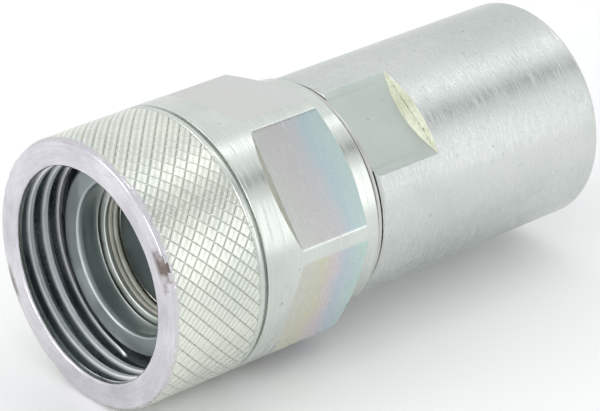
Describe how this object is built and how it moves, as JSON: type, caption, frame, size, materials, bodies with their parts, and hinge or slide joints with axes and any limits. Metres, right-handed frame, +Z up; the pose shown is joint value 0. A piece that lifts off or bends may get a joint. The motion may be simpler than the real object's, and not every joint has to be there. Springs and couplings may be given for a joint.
{
  "type": "quick disconnect coupler",
  "caption": "Screw-to-connect hydraulic quick coupler, female half: knurled hexagon nut with internal thread, sprung poppet valve, round body with spanner flats and a threaded port.",
  "frame": {"origin": "centre of the threaded port at the body's rear end face", "axes": "+Y along the coupler's axis, out of the rear port, so the mouth looks along -Y; +Z up, lying on its side"},
  "size_m": [0.046, 0.098, 0.046],
  "materials": {
    "zinc_plated_steel": "bright zinc plating over machined and knurled steel",
    "turned_zinc_steel": "zinc plating over fine turning marks",
    "dark_steel": "satin zinc-iron plating",
    "bright_steel": "bright machined steel",
    "spring_steel": "drawn wire",
    "rubber": "moulded nitrile rubber",
    "ptfe": "machined PTFE",
    "polyurethane": "moulded polyurethane",
    "bronze": "sintered bronze"
  },
  "bodies": {
    "body": {"front_body": "dark_steel", "rear_body": "turned_zinc_steel", "nut_thrust_washer": "bronze", "nut_stop_ring": "bright_steel", "body_o_ring": "rubber", "body_backup_ring": "ptfe", "seat_ring": "bright_steel", "seat_lock_ring": "spring_steel", "interface_seal": "polyurethane", "interface_backup_ring": "ptfe", "valve_guide": "dark_steel", "guide_bush": "ptfe", "guide_snap_ring": "spring_steel", "spring_seat": "bright_steel", "valve_spring": "spring_steel"},
    "nut": {"coupling_nut": "zinc_plated_steel", "nut_wiper": "rubber"},
    "valve": {"poppet_head": "dark_steel", "poppet_seal": "rubber", "seal_retainer": "bright_steel", "stem_nut": "zinc_plated_steel", "valve_stem": "bright_steel"}
  },
  "joints": [
    {"name": "nut_spin", "type": "hinge", "parent": "body", "child": "nut", "pos_m": [0, -0.075, 0], "axis": [0, 1, 0], "continuous": true},
    {"name": "valve_slide", "type": "slide", "parent": "body", "child": "valve", "axis": [0, 1, 0], "range_m": [0, 0.008], "stiffness_N_per_m": 2500, "springref_m": -0.008, "deforming": ["valve_spring"]}
  ]
}
